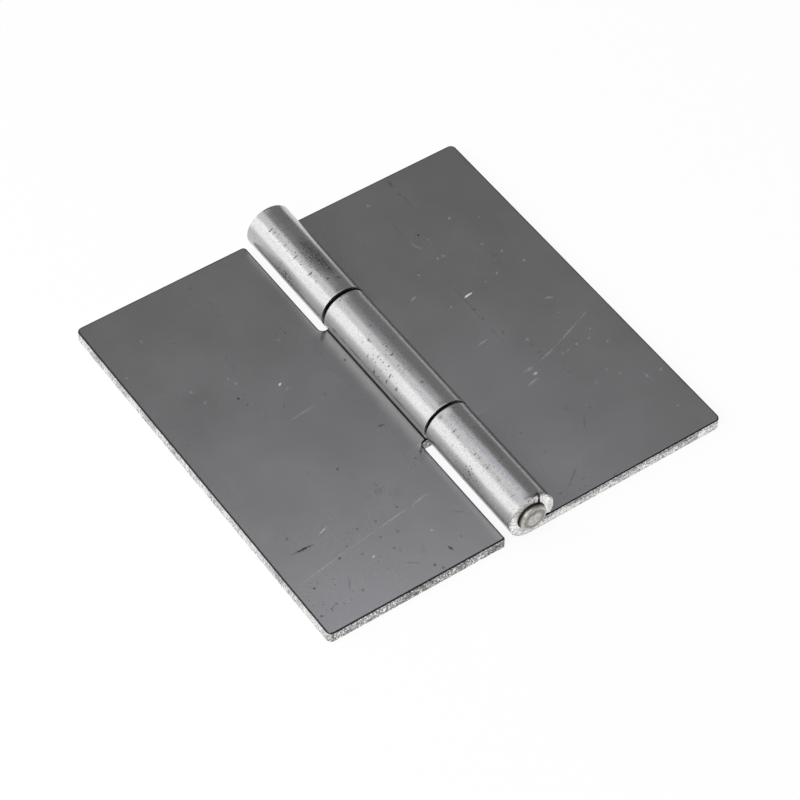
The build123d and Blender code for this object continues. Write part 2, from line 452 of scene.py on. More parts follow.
@dataclass(frozen=True)
class StripSteel:
    """Cold-rolled mild steel strip, bare and lightly oiled, burnished where the die rolled it round the pin.

    It gives the eye an even satin dark grey with a faint cloudy oil film, small pits and handling scratches on
    the leaves, and a brighter, glossier, grainy and pitted metal on the barrel, with painted shade and highlights.
    """

    name: str
    wear: Wear
    face: str = "#a3a3a3"
    barrel: str = "#b8b8b8"
    soil_and_shade: str = "#3a3838"
    painted_edge_shade: str = "#353536"   # painted shade along the upper edges, where the strip bends into the cut
    scratch: str = "#ffffff"
    crease: float = -23.73       # places on the blank of the faint crease near the end of the roll, in painted shade,
    lip_highlight: float = -24.3           # and of the lip beyond it, in a painted highlight
    face_roughness: float = 0.21
    barrel_roughness: float = 0.18

    def build(self) -> bpy.types.Material:
        """Builds the material."""
        material = bpy.data.materials.new(self.name)
        tree = new_tree(material)
        node = partial(add_node, tree)
        place = node("TexCoord", output="Object")
        rolled, painted_shade, border = (node("Attribute", output="Fac", attribute_name=name)
                                 for name in ("rolled", "painted_shade", "border"))
        blank = node("Attribute", output="Vector", attribute_name="blank")
        across = node("SeparateXYZ", (blank,), "X")

        # Clouds of the oil film, 14 mm across, and the steel's own grain, 0.3 mm.
        clouds = node("TexNoise", (place, per_metre(14), 4.0, 0.6))
        grain = node("TexNoise", (place, per_metre(0.3), 3.0, 0.7))
        # Crushed skin of the barrel, 0.32 mm across, and broad worn patches of it, 5 mm.
        skin = node("TexNoise", (place, per_metre(0.32), 3.0, 0.7))
        patches = node("TexNoise", (place, per_metre(5), 3.0, 0.6))

        face_tone = node("MapRange", (clouds, 0.3, 0.7, 0.965, 1.035))
        skin_tone = node("MapRange", (skin, 0.3, 0.7, 0.84, 1.14))
        grain_tone = node("MapRange", (grain, 0.3, 0.7, 0.955, 1.045))
        tone = node("Mix", (rolled, face_tone, skin_tone))
        tone = node("Math", (tone, grain_tone), operation="MULTIPLY")
        tint = node("Mix", (rolled, linear(self.face), linear(self.barrel)), data_type="RGBA")
        tint = node("VectorMath", (tint, tone), operation="SCALE")

        # Painted shade: a thin dark line along the drawn-over upper edges, which takes 0.13 mm of the flat beside them.
        edge = node("MapRange", (border, 0.15, 0.9))
        tint = node("Mix", (edge, tint, linear(self.painted_edge_shade)), data_type="RGBA")

        # Where the die let go of the tab's end: painted shade in a broken crease, and a painted highlight beyond it.
        off_crease = node("Math", (across, self.crease * MM), operation="SUBTRACT")
        off_crease = node("Math", (off_crease,), operation="ABSOLUTE")
        crease = node("MapRange", (off_crease, 0.05 * MM, 0.32 * MM, 0.75, 0.0))
        broken = node("MapRange", (patches, 0.42, 0.56))
        crease = node("Math", (crease, broken), operation="MULTIPLY")
        lip_highlight = node("MapRange", (across, self.lip_highlight * MM, (self.lip_highlight + 0.4) * MM, 1.35, 1.0))
        tint = node("VectorMath", (tint, lip_highlight), operation="SCALE")
        tint = node("Mix", (crease, tint, linear(self.soil_and_shade)), data_type="RGBA")

        # Stray pits in the barrel: the middles of 1.2 mm cells, drawn out round it, where its skin is thin.
        squeezed = node("Mapping", {"Vector": place, "Scale": (0.6, 1.7, 0.6)})
        pit = node("MapRange", (node("TexVoronoi", (squeezed, per_metre(1.2))), 0.06, 0.2, 1.0, 0.0))
        thin = node("MapRange", (patches, 0.5, 0.62))
        stray = node("Math", (pit, thin), operation="MULTIPLY")
        stray = node("Math", (stray, rolled), operation="MULTIPLY")
        # Fine specks: the middles of some of 0.75 mm cells, wherever the leaf is strewn with them.
        cells = node("TexVoronoi", (place, per_metre(0.75)))
        speck = node("MapRange", (cells, 0.12, 0.27, 1.0, 0.0))
        chosen = node("Math", (cells.node.outputs["Color"], 0.5), operation="GREATER_THAN")
        specks = node("Math", (speck, chosen), operation="MULTIPLY")

        soil_and_shade, speckles, smudges_and_shade, bare = (mark_mask(tree, place, *drawn) for drawn in (
            (self.wear.pits_and_shade, grain, 0.36, 0.56), (self.wear.speckles, specks, 0.1, 0.7),
            (self.wear.smudges_and_shade, skin, 0.42, 0.66), (self.wear.scratches, skin, 0.36, 0.52)))
        for part, share in ((stray, 0.5), (speckles, 0.85), (smudges_and_shade, 0.7)):
            soil_and_shade = node("Math", (part, share, soil_and_shade), operation="MULTIPLY_ADD")
        # Painted shade in the gaps, in the bore and beside the seam darkens it as well.
        soil_and_shade = node("Math", (soil_and_shade, painted_shade), operation="ADD", use_clamp=True)
        tint = node("Mix", (soil_and_shade, tint, linear(self.soil_and_shade)), data_type="RGBA")
        tint = node("Mix", (bare, tint, linear(self.scratch)), data_type="RGBA")

        rough = node("Mix", (rolled, self.face_roughness, self.barrel_roughness))
        for part, share in ((clouds, 0.08), (soil_and_shade, 0.25), (bare, 0.4)):
            rough = node("Math", (part, share, rough), operation="MULTIPLY_ADD")

        # Relief: the face is nearly smooth, the barrel's skin is crushed and its pits are sunk.
        strength = node("Mix", (rolled, 0.08, 0.42))
        relief = node("Math", (grain, 0.5, skin), operation="MULTIPLY_ADD")
        relief = node("Math", (soil_and_shade, -0.7, relief), operation="MULTIPLY_ADD")
        finish_metal(tree, tint, rough, relief, strength, 0.04)
        return material


@dataclass(frozen=True)
class ShearedSteel:
    """Mild steel edge left by the shears and the slotting punch, not dressed afterwards.

    From the underside up it shows a crumbly fracture with painted glints, a smoother burnished band and a dark
    line of painted shade where the strip's upper face bends into the cut. The ends of the rolled tabs were wiped
    bright.
    """

    name: str
    fracture: str = "#dddcda"
    burnish: str = "#a6a5a5"
    wiped: str = "#f2f1ee"       # ends of the rolled tabs
    wiped_share: float = 0.75    # how far the same wiping reached the leaf's edge beside the barrel
    slit_tone: float = 1.45      # how much brighter the outer edge is
    glint: str = "#ffffff"
    painted_edge_shade: str = "#353536"
    soil_and_shade: str = "#4b443f"

    def build(self) -> bpy.types.Material:
        """Builds the material. It follows the strip's thickness, which the "blank" attribute holds."""
        material = bpy.data.materials.new(self.name)
        tree = new_tree(material)
        node = partial(add_node, tree)
        blank = node("Attribute", output="Vector", attribute_name="blank")
        painted_shade, rolled = (node("Attribute", output="Fac", attribute_name=name) for name in ("painted_shade", "rolled"))
        on_blank = node("SeparateXYZ", (blank,)).node.outputs
        across, height = on_blank["X"], on_blank["Z"]

        # The border between the bands wanders by a third of a millimetre.
        wander = node("TexNoise", (blank, per_metre(1.8), 4.0, 0.65))
        level = node("Math", (wander, 0.9 * MM, height), operation="MULTIPLY_ADD")
        upper = node("MapRange", (level, 1.5 * MM, 2.0 * MM), interpolation_type="SMOOTHSTEP")
        # Crumbs of the fracture, 0.35 mm across, drag marks up the cut and stretches of it, 5 mm long.
        crumbs = node("TexNoise", (blank, per_metre(0.35), 4.0, 0.75))
        upright = node("Mapping", {"Vector": blank, "Scale": (1.0, 1.0, 0.2)})
        drag = node("TexNoise", (upright, per_metre(0.5), 4.0, 0.65))
        stretches = node("TexNoise", (blank, per_metre(5), 2.0, 0.6))

        beside_barrel = node("MapRange", (across, 8 * MM, 18 * MM, self.wiped_share, 0.0))
        lower = node("MapRange", (upper, 0.0, 1.0, 1.0, 0.1))
        beside_barrel = node("Math", (beside_barrel, lower), operation="MULTIPLY")
        wiped = node("Math", (rolled, beside_barrel), operation="MAXIMUM")
        tint = node("Mix", (upper, linear(self.fracture), linear(self.burnish)), data_type="RGBA")
        tint = node("Mix", (wiped, tint, linear(self.wiped)), data_type="RGBA")

        rough_crumbs = node("MapRange", (crumbs, 0.39, 0.61, 0.3, 1.6))
        wiped_crumbs = node("MapRange", (crumbs, 0.39, 0.61, 0.62, 1.35))
        tone = node("Mix", (wiped, rough_crumbs, wiped_crumbs))
        drag_tone = node("MapRange", (drag, 0.38, 0.62, 0.6, 1.25))
        # Some stretches of the cut came off darker. The outer edge was slit on a wheel and is cleaner.
        stretch_tone = node("MapRange", (stretches, 0.35, 0.65, 0.62, 1.08))
        stretch_tone = node("Mix", (wiped, stretch_tone, 1.0))
        slit_tone = node("MapRange", (across, 44.9 * MM, 45.3 * MM, 1.0, self.slit_tone))
        for part in (drag_tone, stretch_tone, slit_tone):
            tone = node("Math", (tone, part), operation="MULTIPLY")
        tint = node("VectorMath", (tint, tone), operation="SCALE")

        # Painted glints: bright facets of the torn metal, 0.3 mm across, in ragged clusters.
        facets = node("TexNoise", (blank, per_metre(0.3), 2.0, 0.6))
        facets = node("Math", (stretches, 0.25, facets), operation="MULTIPLY_ADD")
        shine = node("MapRange", (facets, 0.675, 0.72))
        tint = node("Mix", (shine, tint, linear(self.glint)), data_type="RGBA")

        # Painted shade: a dark line under the upper face, kept faint on the ends of the tabs.
        line = node("MapRange", (height, (SHEET - 0.23) * MM, (SHEET - 0.16) * MM), interpolation_type="SMOOTHSTEP")
        kept = node("MapRange", (rolled, 0.0, 1.0, 1.0, 0.3))
        line = node("Math", (line, kept), operation="MULTIPLY")
        tint = node("Mix", (line, tint, linear(self.painted_edge_shade)), data_type="RGBA")

        # Dark flecks of scale and oil caught in the tear, 0.5 mm across, closer together at the barrel's rim.
        flecks = node("TexNoise", (blank, per_metre(0.5), 4.0, 0.7))
        at_rim = node("MapRange", (height, 0.3 * MM, 0.75 * MM, 0.09, 0.0))
        flecks = node("Math", (at_rim, rolled, flecks), operation="MULTIPLY_ADD")
        dark = node("MapRange", (flecks, 0.58, 0.64, 0.0, 0.85))
        # Painted shade in the gaps between the knuckles darkens it as well.
        dark = node("Math", (dark, painted_shade), operation="ADD", use_clamp=True)
        tint = node("Mix", (dark, tint, linear(self.soil_and_shade)), data_type="RGBA")

        relief = node("Math", (crumbs, drag), operation="ADD")
        finish_metal(tree, tint, node("Mix", (rolled, 0.42, 0.34)), relief, 0.55, 0.1)
        return material


@dataclass(frozen=True)
class UpsetWireSteel:
    """Drawn low-carbon steel wire, cropped and upset at its ends.

    It gives the eye a dull beige-grey end with a paler ridge round it, and oil, dirt and painted shade at the bore.
    """

    name: str = "drawn_steel_wire"
    metal: str = "#c8c6c0"
    hollow: str = "#9d9a95"
    soil_and_shade: str = "#2e2925"
    bore_oil_and_shade: str = "#72665d"    # dull brown film and painted shade on what shows between the knuckles
    groove: tuple[float, float, float, float] = (1.25, 1.9, 2.3, 2.5)    # its radii in the end
    roughness: float = 0.52

    def build(self) -> bpy.types.Material:
        """Builds the material."""
        material = bpy.data.materials.new(self.name)
        tree = new_tree(material)
        node = partial(add_node, tree)
        place = node("TexCoord", output="Object")
        # Crumbs of the upset end, 0.5 mm across, and blotches, 1.6 mm, that make its groove wander.
        crumbs = node("TexNoise", (place, per_metre(0.5), 6.0, 0.7))
        blotches = node("TexNoise", (place, per_metre(1.6), 3.0, 0.6))
        centred = node("Mapping", {"Vector": place, "Location": (0, 0, -AXIS_HEIGHT * MM)})
        flat = node("VectorMath", (centred, (1.0, 0.0, 1.0)), operation="MULTIPLY")
        radius = node("VectorMath", (flat,), operation="LENGTH")
        radius = node("Math", (blotches, 0.5 * MM, radius), operation="MULTIPLY_ADD")
        radius = node("Math", (radius, -0.25 * MM), operation="ADD")

        inner_start, inner_full, outer_full, outer_end = (size * MM for size in self.groove)
        inside = node("MapRange", (radius, inner_start, inner_full), interpolation_type="SMOOTHSTEP")
        outside = node("MapRange", (radius, outer_full, outer_end, 1.0, 0.0), interpolation_type="SMOOTHSTEP")
        hollow = node("Math", (inside, outside), operation="MULTIPLY")
        tint = node("Mix", (hollow, linear(self.metal), linear(self.hollow)), data_type="RGBA")
        crumb_tone = node("MapRange", (crumbs, 0.32, 0.68, 0.62, 1.28))
        tint = node("VectorMath", (tint, crumb_tone), operation="SCALE")

        # Dirt and painted shade on what lies inside the barrel, and on the side next to its rim.
        along = node("Math", (node("SeparateXYZ", (place,), "Y"),), operation="ABSOLUTE")
        dirt_and_shade = node("MapRange", (along, (HALF_LENGTH + 0.1) * MM, (HALF_LENGTH + 1.0) * MM, 1.0, 0.0),
                    interpolation_type="SMOOTHSTEP")
        inside_barrel = node("Math", (along, (HALF_LENGTH - 5) * MM), operation="LESS_THAN")
        film = node("Mix", (inside_barrel, linear(self.soil_and_shade), linear(self.bore_oil_and_shade)), data_type="RGBA")
        tint = node("Mix", (dirt_and_shade, tint, film), data_type="RGBA")
        finish_metal(tree, tint, self.roughness, crumbs, 0.6, 0.08)
        return material


# ------------------------------------------------------------------------------------------------------ leaves


@dataclass(frozen=True)
class KnuckleRoll:
    """How a tab of the strip is rolled round the pin. A blank lies with its underside at z = 0, and the roll
    starts at u = 0, straight under the pin, and takes what lies at u < 0. Sizes in millimetres and degrees."""

    bore_radius: float
    outer_turn: float = 295.5    # how far the outside of the curl goes round from under the pin
    inner_turn: float = 305.0    # and its bore
    draw_in: float = 0.05        # the barrel is this much slimmer than the rims at its ends
    dents: float = 0.06          # depth of the nicks in the rims
    crease_turn: float = 267.0   # where the die let go of the tab's end and left a faint crease
    crease_half: float = 3.2     # its half width, in degrees
    crease_depth: float = 0.045
    round_from: tuple[float, float] = (20.0, 60.0)       # the barrel's wear sets in between these turns
    nick_reach: tuple[float, float] = (0.1, 0.6)         # nicks fade out this far from a knuckle's end
    rim_reach: tuple[float, float] = (0.15, 1.2)         # and so do the rims

    @property
    def length(self) -> float:
        """Length of strip in the roll, measured outside."""
        return BARREL_RADIUS * math.radians(self.outer_turn)

    @property
    def bore_start(self) -> float:
        """Place along the blank where its upper face meets the bore."""
        return math.sqrt(self.bore_radius ** 2 - (AXIS_HEIGHT - SHEET) ** 2)

    def on_circle(self, radius: float, turn: float) -> tuple[float, float]:
        """Gives x and z of a point that has turned so many degrees round the pin from straight below it."""
        angle = math.radians(turn)
        return -radius * math.sin(angle), AXIS_HEIGHT - radius * math.cos(angle)

    def turn_outside(self, u: float) -> float:
        """Gives how far the outside of the blank at u has turned round the pin."""
        return -u / self.length * self.outer_turn

    def slimness(self, u: float, y: float, from_end: float) -> float:
        """Gives how far the rolled blank lies inside the barrel's radius, at its rims, nicks and crease.

        Args:
            u: Place across the blank.
            y: Place along the pin.
            from_end: Distance to the nearest end of its knuckle, along the pin.

        Returns:
            The distance.
        """
        nick = max(noise.noise((u * 1.7, y, 0.0)), 0.0) * (1 - smoothstep(from_end, *self.nick_reach))
        off_crease = abs(self.turn_outside(u) - self.crease_turn) / self.crease_half
        waviness = 0.8 + 0.4 * noise.noise((y, 0.0, 7.0))
        return (self.draw_in * smoothstep(from_end, *self.rim_reach) + self.dents * nick
                + self.crease_depth * (1 - smoothstep(off_crease, 0.0, 1.0)) * waviness)

    def place(self, point: Vector, from_end: float) -> Vector:
        """Gives where a point of the flat blank comes to lie when the blank is rolled.

        Args:
            point: Point of the blank.
            from_end: Distance to the nearest end of its knuckle, along the pin.

        Returns:
            The point after rolling.
        """
        u, y, height = point
        outside = (u, 0.0)
        if u < 0:
            turn = self.turn_outside(u)
            slim = self.slimness(u, y, from_end) * smoothstep(turn, *self.round_from)
            outside = self.on_circle(BARREL_RADIUS - slim, turn)
        inside = (u, SHEET)
        if u < self.bore_start:
            first_turn = -math.degrees(math.asin(self.bore_start / self.bore_radius))
            share = (self.bore_start - u) / (self.bore_start + self.length)
            inside = self.on_circle(self.bore_radius, first_turn + share * (self.inner_turn - first_turn))
        x, z = (out + (into - out) * height / SHEET for out, into in zip(outside, inside))
        return Vector((x, y, z))


@dataclass(frozen=True)
class EndSplit:
    """A tear in the near end of a knuckle, from the outside of the roll to its bore, placed on the flat blank."""

    outside: float = -17.69      # its middle at the underside of the blank
    bore: float = -18.56         # and at its upper face
    depth: float = 0.9
    reach: float = 1.6           # metal this far from the end is drawn along,
    half_zone: float = 1.5       # within this far of its middle
    fade: float = 0.08           # beyond its sides, and the step between slices there
    widths: tuple[tuple[float, float], ...] = ((0.0, 0.34), (1.0, 0.16), (SHEET, 0.95))    # by height

    def middle(self, height: float) -> float:
        """Gives its middle at a height in the strip."""
        return self.outside + (self.bore - self.outside) * height / SHEET

    def width(self, height: float) -> float:
        """Gives its width at a height in the strip."""
        for (low, narrow), (high, wide) in zip(self.widths, self.widths[1:]):
            if height <= high:
                return narrow + (wide - narrow) * (height - low) / (high - low)
        return self.widths[-1][1]

    def share(self, point: Vector) -> float:
        """Gives how far a point of the blank lies in the tear, from 0 to 1."""
        off = abs(point.x - self.middle(point.z))
        half = self.width(point.z) / 2
        return 1 - smoothstep(off, 0.6 * half, half + self.fade)

    def stations(self) -> list[float]:
        """Gives the places where the blank is sliced so that the tear can open."""
        return [self.bore - 0.6 + self.fade * step for step in range(24)]


@dataclass
class RolledLeaf:
    """A leaf of the hinge: one strip of steel with tabs rolled into knuckles. Sizes in millimetres."""

    name: str
    node: str
    body: str
    side: LeafSide
    roll: KnuckleRoll
    slots: tuple[tuple[float, float], ...]          # from y to y
    slot_root_radius: float = 1.1
    far_corner_radius: float = 0.0
    near_corner_radius: float = 0.0
    outer_corner_radius: float = 1.2
    reach: float = 45.6
    slide: float = 0.0
    inner_edge: float = 5.93
    edge_roll: float = 0.25      # upper edges drawn over by the shears,
    tab_edge_roll: float = 0.07  # and those of the tabs, which the die pressed flat again
    line_width: float = 0.13     # painted dark edge shade on the flat beside the upper edges
    rim_roll: float = 0.12       # knuckle rims
    fracture_depth: float = 0.07
    torn_levels: tuple[float, float] = (1.5, 2.1)    # the walls' torn lower part ends between these heights
    seam_shade: float = 0.25     # painted shade on the leaf beside the seam, at its darkest,
    seam_reach: tuple[float, float] = (5.0, 12.0)    # fading out between these places
    gap_reach: tuple[float, float] = (0.08, 0.3)     # painted shade in the gaps reaches this far over a knuckle's end,
    root_reach: tuple[float, float] = (1.0, 4.0)     # and out to these places under the barrel
    sharp_angle: float = 40.0    # degrees
    corner_steps: int = 7        # facets of a rounded corner
    edge_steps: int = 3          # and of a rounded edge
    split: EndSplit | None = None
    pattern_seed: float = 0.0
    roll_step: float = 0.35      # between slices across the roll,
    flat_step: float = 1.5       # across the flat leaf from flat_start on,
    flat_start: float = 3.0
    length_step: float = 1.0     # and along the pin
    wall_steps: tuple[float, ...] = (0.15, 0.42, 0.6)        # further slices, off each wall
    levels: tuple[float, ...] = (0.45, 0.9, 1.3, 1.65, 2.0)  # and in the thickness of the strip
    materials: list[bpy.types.Material] = field(default_factory=list)

    @property
    def ends(self) -> tuple[float, float]:
        """Near and far end of the leaf."""
        return -HALF_LENGTH + self.slide, HALF_LENGTH + self.slide

    @property
    def walls(self) -> list[float]:
        """Places along the pin where the leaf or one of its knuckles ends."""
        near, far = self.ends
        return [near, far] + [y for slot in self.slots for y in slot if near < y < far]

    def build(self) -> bpy.types.Object:
        """Makes the leaf and gives it its finishes, body and material slot."""
        blank = self.cut_outline()
        self.shear(blank)
        self.flatten_tab_edges(blank)
        self.slice_up(blank)
        self.roughen_walls(blank)
        self.note_surfaces(blank)
        if self.split:
            self.tear_open(blank, self.split)
        self.roll_up(blank)
        leaf = finish_mesh(blank, self.name, self.materials, self.sharp_angle)
        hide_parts(self.node)
        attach(leaf, self.body)
        return leaf

    def beside_slot(self, y: float) -> bool:
        """Tells whether a slot lies between the pin and the leaf at y."""
        return any(low < y < high for low, high in self.slots)

    def cut_outline(self) -> Mesh:
        """Cuts the flat outline of the blank out of the strip.

        Returns:
            One face at z = 0, looking down, with its corners rounded.
        """
        blank = bmesh.new()
        near, far = self.ends
        size = Matrix.Diagonal((self.reach + self.roll.length, far - near, 1, 1))
        middle = Matrix.Translation(((self.reach - self.roll.length) / 2, (near + far) / 2, 0))
        bmesh.ops.create_grid(blank, x_segments=1, y_segments=1, size=0.5, matrix=middle @ size)
        slice_shape(blank, 0, [self.inner_edge], 1e-5)
        slice_shape(blank, 1, self.walls[2:], 1e-5)
        middles = [(face, face.calc_center_median()) for face in blank.faces]
        away = [face for face, at in middles if at.x < self.inner_edge and self.beside_slot(at.y)]
        bmesh.ops.delete(blank, geom=away, context="FACES")
        bmesh.ops.dissolve_faces(blank, faces=blank.faces[:])
        straight = [vert for vert in blank.verts if abs(vert.calc_edge_angle(0)) < 0.01]
        bmesh.ops.dissolve_verts(blank, verts=straight)
        for radius, verts in self.corners(blank).items():
            if radius:
                bmesh.ops.bevel(blank, geom=verts, offset=radius, segments=self.corner_steps, profile=0.5,
                                affect="VERTICES", material=-1)
        return blank

    def corners(self, blank: Mesh) -> dict[float, Verts]:
        """Sorts the outline's corners by the radius that they get.

        Args:
            blank: The outline.

        Returns:
            Corner points for each radius.
        """
        near, far = self.ends
        groups: dict[float, Verts] = {}
        for vert in blank.verts:
            at_end = min(vert.co.y - near, far - vert.co.y) < TOUCH
            radius = 0.0
            if vert.co.x > self.reach - TOUCH:
                radius = self.outer_corner_radius
            elif abs(vert.co.x - self.inner_edge) < TOUCH and at_end:
                radius = self.far_corner_radius if vert.co.y > 0 else self.near_corner_radius
            elif abs(vert.co.x - self.inner_edge) < TOUCH:
                radius = self.slot_root_radius
            groups.setdefault(radius, []).append(vert)
        return groups

    def round_edges(self, blank: Mesh, edges: list[bmesh.types.BMEdge], radius: float) -> None:
        """Rounds some edges of the blank."""
        bmesh.ops.bevel(blank, geom=edges, offset=radius, segments=self.edge_steps, profile=0.5, affect="EDGES",
                        clamp_overlap=True, material=-1)

    def shear(self, blank: Mesh) -> None:
        """Gives the blank its thickness, and its edges the shape that the shears left."""
        raised = bmesh.ops.extrude_face_region(blank, geom=blank.faces[:])["geom"]
        verts = [item for item in raised if isinstance(item, bmesh.types.BMVert)]
        bmesh.ops.translate(blank, vec=(0, 0, SHEET), verts=verts)
        bmesh.ops.recalc_face_normals(blank, faces=blank.faces[:])
        upper = [edge for edge in blank.edges if all(vert.co.z > SHEET - TOUCH for vert in edge.verts)]
        self.round_edges(blank, upper, self.edge_roll)
        lower = [edge for edge in blank.edges if all(vert.co.z < TOUCH for vert in edge.verts)]
        rims = [edge for edge in lower if min(vert.co.x for vert in edge.verts) < -1]
        self.round_edges(blank, rims, self.rim_roll)
        blank.normal_update()
        flat = [face for face in blank.faces if face.normal.z > 0.999]
        bmesh.ops.inset_region(blank, faces=flat, thickness=self.line_width, depth=0, use_even_offset=True)
        within_line = list(dict.fromkeys(vert for face in flat for vert in face.verts))
        bmesh.ops.remove_doubles(blank, verts=within_line, dist=self.line_width)
        bmesh.ops.connect_verts_concave(blank, faces=blank.faces[:])

    def flatten_tab_edges(self, blank: Mesh) -> None:
        """Makes the drawn-over edges of the tabs small, toward the ends of the tabs."""
        tab_start = self.inner_edge - 2.5
        slice_shape(blank, 0, [tab_start])
        keep = self.tab_edge_roll / self.edge_roll
        zone = self.edge_roll + 0.001
        end = -self.roll.length
        for vert in blank.verts:
            if vert.co.z < SHEET - zone or vert.co.x > tab_start - TOUCH:
                continue
            wall = min(self.walls, key=lambda y: abs(vert.co.y - y))
            beside_wall = abs(vert.co.y - wall) < zone
            beside_end = vert.co.x - end < zone
            if beside_wall:
                vert.co.y = wall + (vert.co.y - wall) * keep
            if beside_end:
                vert.co.x = end + (vert.co.x - end) * keep
            if beside_wall or beside_end:
                vert.co.z = SHEET - (SHEET - vert.co.z) * keep

    def slice_up(self, blank: Mesh) -> None:
        """Slices the blank so that it can be rolled, roughened and torn."""
        near, far = self.ends
        start = -self.roll.length
        crease = -BARREL_RADIUS * math.radians(self.roll.crease_turn)
        roll_slices = math.ceil((self.flat_start - start) / self.roll_step)
        across = [start + self.roll_step * step for step in range(1, roll_slices)]
        across += [crease + 0.1 * step for step in range(-3, 4)]
        across += [self.flat_start + self.flat_step * step for step in range(1, 28)]
        lengthwise = [near + self.length_step * step for step in range(1, int(far - near))]
        lengthwise += [wall + side * off for wall in self.walls for side in (-1, 1) for off in self.wall_steps]
        if self.split:
            across += self.split.stations()
            lengthwise += [near + 0.12 * step for step in range(1, 8)]
        slice_shape(blank, 0, across)
        slice_shape(blank, 1, [y for y in lengthwise if near < y < far])
        slice_shape(blank, 2, self.levels)

    def roughen_walls(self, blank: Mesh) -> None:
        """Lets the fractured lower part of the sheared walls crumble inward a little."""
        blank.normal_update()
        shifts = []
        for vert in blank.verts:
            if all(abs(face.normal.z) < 0.3 for face in vert.link_faces):
                torn = 1 - smoothstep(vert.co.z, *self.torn_levels)
                rough = 0.5 + 0.5 * noise.noise(vert.co * 1.3 + Vector((self.pattern_seed, 0, 0)))
                shifts.append((vert, -self.fracture_depth * torn * rough * vert.normal))
        for vert, shift in shifts:
            vert.co += shift

    def note_surfaces(self, blank: Mesh) -> None:
        """Writes the place in the flat blank and the painted shade to each point, and picks each face's finish."""
        where = blank.verts.layers.float_vector.new("blank")
        painted_shade = blank.verts.layers.float.new("painted_shade")
        border = blank.verts.layers.float.new("border")
        between_knuckles = self.walls[2:]
        for vert in blank.verts:
            vert[where] = (vert.co + Vector((0, self.pattern_seed, 0))) * MM
            lowest = min(edge.other_vert(vert).co.z for edge in vert.link_edges)
            on_edge = vert.co.z > SHEET / 2 and min(lowest, vert.co.z) < SHEET - TOUCH
            vert[border] = 1.0 if on_edge and vert.co.x > 1 else 0.0
            # Painted shade deep in the gaps between the knuckles.
            off = min(abs(vert.co.y - wall) for wall in between_knuckles)
            deep = smoothstep(vert.co.z, self.rim_roll, self.rim_roll + 0.8)
            in_gap = (1 - smoothstep(off, *self.gap_reach)) * (1 - smoothstep(vert.co.x, *self.root_reach))
            vert[painted_shade] = deep * in_gap
            # Painted shade on the leaf beside the seam, and full painted shade in the bore.
            if vert.co.z > SHEET - TOUCH and not self.beside_slot(vert.co.y):
                beside_seam = self.seam_shade * (1 - smoothstep(vert.co.x, *self.seam_reach))
                vert[painted_shade] = beside_seam if vert.co.x > 1 else 1.0
        for face in blank.faces:
            sheared = abs(face.normal.z) < 0.5
            face.material_index = Surface.SHEARED.value if sheared else Surface.STRIP.value

    def tear_open(self, blank: Mesh, split: EndSplit) -> None:
        """Opens the tear in the near end by drawing the end's metal back, and paints shade into it."""
        painted_shade = blank.verts.layers.float["painted_shade"]
        near = self.ends[0]
        for vert in blank.verts:
            from_end = vert.co.y - near
            if from_end < split.reach and abs(vert.co.x - split.middle(vert.co.z)) < split.half_zone:
                share = split.share(vert.co)
                vert.co.y += split.depth * share * (1 - from_end / split.reach)
                dirt_and_shade = smoothstep(share, 0.1, 0.6) * (1 - smoothstep(from_end, 0.0, 0.5))
                vert[painted_shade] = max(vert[painted_shade], dirt_and_shade)

    def roll_up(self, blank: Mesh) -> None:
        """Rolls the tabs round the pin and turns the leaf to its side."""
        rolled = blank.verts.layers.float.new("rolled")
        for vert in blank.verts:
            from_end = min(abs(vert.co.y - wall) for wall in self.walls)
            vert[rolled] = smoothstep(self.roll.turn_outside(vert.co.x), 15, 60)
            vert.co = self.roll.place(vert.co, from_end)
        if self.side is LeafSide.LEFT:
            bmesh.ops.scale(blank, vec=(-1, 1, 1), verts=blank.verts)
            bmesh.ops.reverse_faces(blank, faces=blank.faces[:])


# --------------------------------------------------------------------------------------------------------- pin


@dataclass
class HingePin:
    """The wire pin, its ends upset to low domes with a shallow groove. Sizes in millimetres."""

    material: bpy.types.Material
    name: str = "pin_wire"
    radius: float = 3.0
    inside_end: float = 44.9     # the pin fills its bore as far as this
    sides: int = 96
    sharp_angle: float = 50.0    # degrees
    # Radius and place along the pin, from the middle of the end outward.
    end_shape: tuple[tuple[float, float], ...] = (
        (0.0, 46.2), (0.8, 46.2), (1.5, 46.18), (1.75, 46.1), (1.95, 45.98), (2.2, 45.97), (2.4, 46.03),
        (2.6, 46.03), (2.78, 45.94), (2.9, 45.8), (2.95, 45.6), (2.95, 45.2), (2.94, 45.0))

    def profile(self) -> list[Vector]:
        """Gives half of the pin's outline, from the middle of the far end to the middle of the near end."""
        half = [Vector((radius, along, 0)) for radius, along in self.end_shape]
        half.append(Vector((self.radius, self.inside_end, 0)))
        return half + [Vector((point.x, -point.y, 0)) for point in reversed(half)]

    def build(self) -> bpy.types.Object:
        """Makes the pin and gives it its finish, body and material slot."""
        shape = bmesh.new()
        verts = [shape.verts.new(point) for point in self.profile()]
        edges = [shape.edges.new(pair) for pair in zip(verts, verts[1:])]
        bmesh.ops.spin(shape, geom=verts + edges, cent=(0, 0, 0), axis=(0, 1, 0), dvec=(0, 0, 0),
                       angle=math.radians(360), steps=self.sides, use_merge=True, use_duplicate=False)
        bmesh.ops.remove_doubles(shape, verts=shape.verts[:], dist=1e-4)
        bmesh.ops.recalc_face_normals(shape, faces=shape.faces[:])
        bmesh.ops.translate(shape, vec=(0, 0, AXIS_HEIGHT), verts=shape.verts)
        pin = finish_mesh(shape, self.name, [self.material], self.sharp_angle)
        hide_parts("hinge_pin")
        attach(pin, "fixed_side")
        return pin


# ------------------------------------------------------------------------------------------------------ studio


